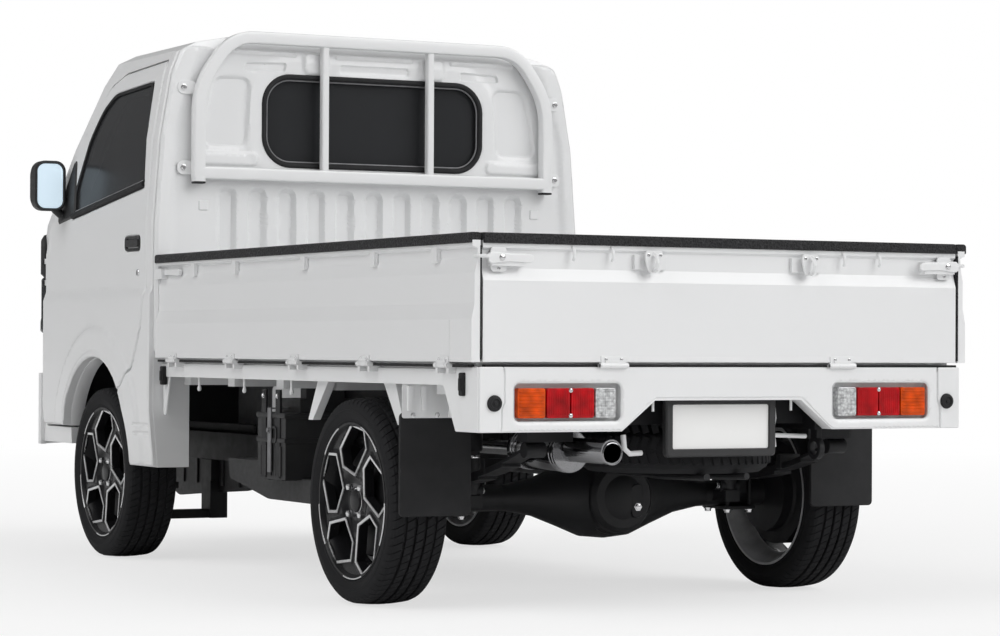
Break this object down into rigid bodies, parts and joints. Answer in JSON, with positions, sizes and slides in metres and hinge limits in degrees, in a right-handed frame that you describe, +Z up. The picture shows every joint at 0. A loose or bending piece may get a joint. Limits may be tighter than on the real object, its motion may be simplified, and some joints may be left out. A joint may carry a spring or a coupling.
{
  "type": "flat-nosed mini pickup truck with drop-side load deck",
  "caption": "Small white flat-nosed pickup truck with a two-seat cab, drop-side load deck, window guard frame, alloy wheels, opening doors, folding gates and steered front wheels.",
  "frame": {"origin": "on the ground under the middle of the truck", "axes": "+X to the front of the truck, +Y to its left, +Z up"},
  "size_m": [3.395, 1.715, 1.685],
  "materials": {
    "body_paint": "gloss",
    "frame_black": "satin",
    "engine_metal": "rough",
    "exhaust_metal": "polished",
    "black_plastic": "matte",
    "black_rubber": "matte",
    "tyre_rubber": "matte",
    "rim_black": "gloss",
    "dark_glass": "gloss",
    "lamp_clear": "gloss",
    "lamp_amber": "gloss",
    "lamp_red": "gloss",
    "plate_white": "satin",
    "seat_fabric": "woven"
  },
  "bodies": {
    "chassis": {"chassis_frame": "frame_black", "front_suspension": "frame_black", "engine_block": "engine_metal", "propeller_shaft": "frame_black", "rear_axle": "frame_black", "leaf_springs": "frame_black", "dampers": "frame_black", "exhaust": "exhaust_metal", "fuel_tank": "black_plastic", "battery_box": "black_plastic", "spare_wheel": "tyre_rubber", "tow_eyes": "frame_black", "mud_flaps": "black_rubber", "deck_floor": "body_paint", "rear_panel": "body_paint", "tail_lamps_amber": "lamp_amber", "tail_lamps_red": "lamp_red", "tail_lamps_clear": "lamp_clear", "plate_holder": "black_plastic", "number_plate": "plate_white", "gate_stops": "black_rubber", "guard_frame": "body_paint", "cab_rear_wall": "body_paint", "cab_roof": "body_paint", "cab_front": "body_paint", "cab_floor": "black_plastic", "windscreen": "dark_glass", "rear_window": "dark_glass", "headlamps": "lamp_clear", "grille": "black_plastic", "bumper": "body_paint", "seats": "seat_fabric", "dashboard": "black_plastic", "steering_wheel": "black_plastic"},
    "door_left": {"door_left": "body_paint", "door_left_glass": "dark_glass", "door_left_fittings": "black_plastic"},
    "door_right": {"door_right": "body_paint", "door_right_glass": "dark_glass", "door_right_fittings": "black_plastic"},
    "tailgate": {"tailgate": "body_paint", "tailgate_rail": "black_rubber"},
    "side_gate_left": {"side_gate_left": "body_paint", "side_gate_left_rail": "black_rubber"},
    "side_gate_right": {"side_gate_right": "body_paint", "side_gate_right_rail": "black_rubber"},
    "knuckle_left": {"knuckle_left": "frame_black"},
    "knuckle_right": {"knuckle_right": "frame_black"},
    "wheel_front_left": {"tyre_front_left": "tyre_rubber", "rim_front_left": "rim_black"},
    "wheel_front_right": {"tyre_front_right": "tyre_rubber", "rim_front_right": "rim_black"},
    "wheel_rear_left": {"tyre_rear_left": "tyre_rubber", "rim_rear_left": "rim_black"},
    "wheel_rear_right": {"tyre_rear_right": "tyre_rubber", "rim_rear_right": "rim_black"}
  },
  "joints": [
    {"name": "steer_left", "type": "hinge", "parent": "chassis", "child": "knuckle_left", "pos_m": [0.9425, 0.53, 0.273], "axis": [0, 0, 1], "range_deg": [-33, 33]},
    {"name": "steer_right", "type": "hinge", "parent": "chassis", "child": "knuckle_right", "pos_m": [0.9425, -0.53, 0.273], "axis": [0, 0, 1], "range_deg": [-33, 33]},
    {"name": "spin_front_left", "type": "hinge", "parent": "knuckle_left", "child": "wheel_front_left", "pos_m": [0.9425, 0.6425, 0.273], "axis": [0, 1, 0], "continuous": true},
    {"name": "spin_front_right", "type": "hinge", "parent": "knuckle_right", "child": "wheel_front_right", "pos_m": [0.9425, -0.6425, 0.273], "axis": [0, 1, 0], "continuous": true},
    {"name": "spin_rear_left", "type": "hinge", "parent": "chassis", "child": "wheel_rear_left", "pos_m": [-0.9625, 0.6425, 0.273], "axis": [0, 1, 0], "continuous": true},
    {"name": "spin_rear_right", "type": "hinge", "parent": "chassis", "child": "wheel_rear_right", "pos_m": [-0.9625, -0.6425, 0.273], "axis": [0, 1, 0], "continuous": true},
    {"name": "door_left_hinge", "type": "hinge", "parent": "chassis", "child": "door_left", "pos_m": [1.4375, 0.7375, 0.9], "axis": [0, 0, -1], "range_deg": [0, 65]},
    {"name": "door_right_hinge", "type": "hinge", "parent": "chassis", "child": "door_right", "pos_m": [1.4375, -0.7375, 0.9], "axis": [0, 0, 1], "range_deg": [0, 65]},
    {"name": "tailgate_hinge", "type": "hinge", "parent": "chassis", "child": "tailgate", "pos_m": [-1.6855, 0, 0.635], "axis": [0, -1, 0], "range_deg": [0, 174]},
    {"name": "side_gate_left_hinge", "type": "hinge", "parent": "chassis", "child": "side_gate_left", "pos_m": [-0.6815, 0.738, 0.635], "axis": [-1, 0, 0], "range_deg": [0, 174]},
    {"name": "side_gate_right_hinge", "type": "hinge", "parent": "chassis", "child": "side_gate_right", "pos_m": [-0.6815, -0.738, 0.635], "axis": [1, 0, 0], "range_deg": [0, 174]}
  ],
  "couplings": [
    {"joint": "steer_right", "follows": "steer_left", "ratio": 1}
  ]
}
